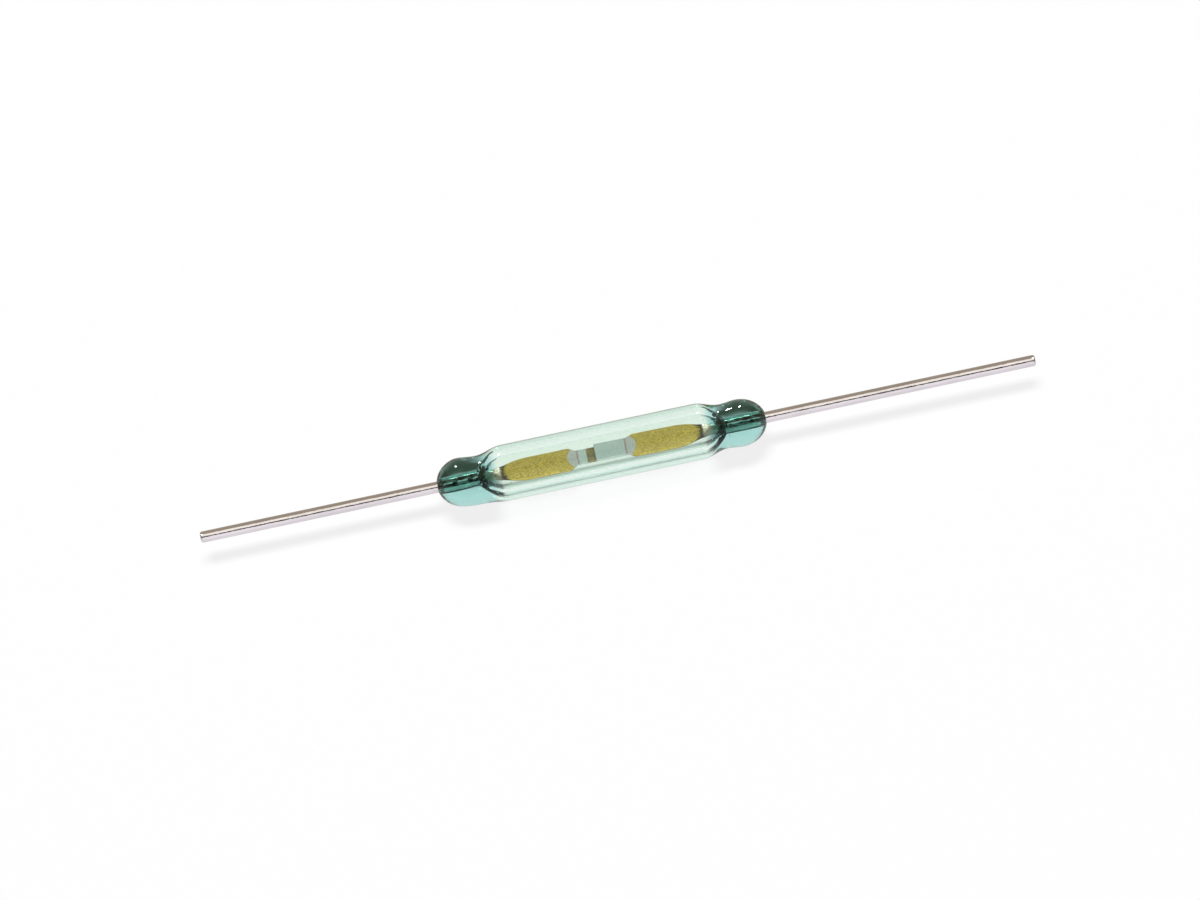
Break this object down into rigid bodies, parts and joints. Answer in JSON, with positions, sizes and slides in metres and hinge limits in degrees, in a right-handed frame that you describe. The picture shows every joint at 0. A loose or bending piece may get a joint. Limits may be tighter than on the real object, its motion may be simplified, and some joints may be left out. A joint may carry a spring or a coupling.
{
  "type": "glass reed switch",
  "caption": "Normally open glass reed switch: pressed reeds with overlapping contact tips sealed in a green glass capsule, with straight axial leads.",
  "frame": {"origin": "middle of the glass capsule, on the axis of its tube", "axes": "+X along the tube towards the longer lead, +Z square to the flat faces of the reeds"},
  "size_m": [0.0377, 0.0024, 0.0024],
  "materials": {
    "green_glass": "clear pale green, fire polished",
    "tinned_wire": "bright tinned wire",
    "plated_reed": "fine grained gold coloured plating with silver tips"
  },
  "bodies": {
    "capsule": {"glass_capsule": "green_glass", "left_lead": "tinned_wire", "right_lead": "tinned_wire"},
    "left_reed": {"left_blade": "plated_reed"},
    "right_reed": {"right_blade": "plated_reed"}
  },
  "joints": [
    {"name": "left_flex", "type": "hinge", "parent": "capsule", "child": "left_reed", "pos_m": [-0.00445, 0, 0], "axis": [0, -1, 0], "range_deg": [0, 0.5], "stiffness_Nm_per_rad": 0.05},
    {"name": "right_flex", "type": "hinge", "parent": "capsule", "child": "right_reed", "pos_m": [0.00445, 0, 0], "axis": [0, -1, 0], "range_deg": [0, 0.5], "stiffness_Nm_per_rad": 0.05}
  ]
}
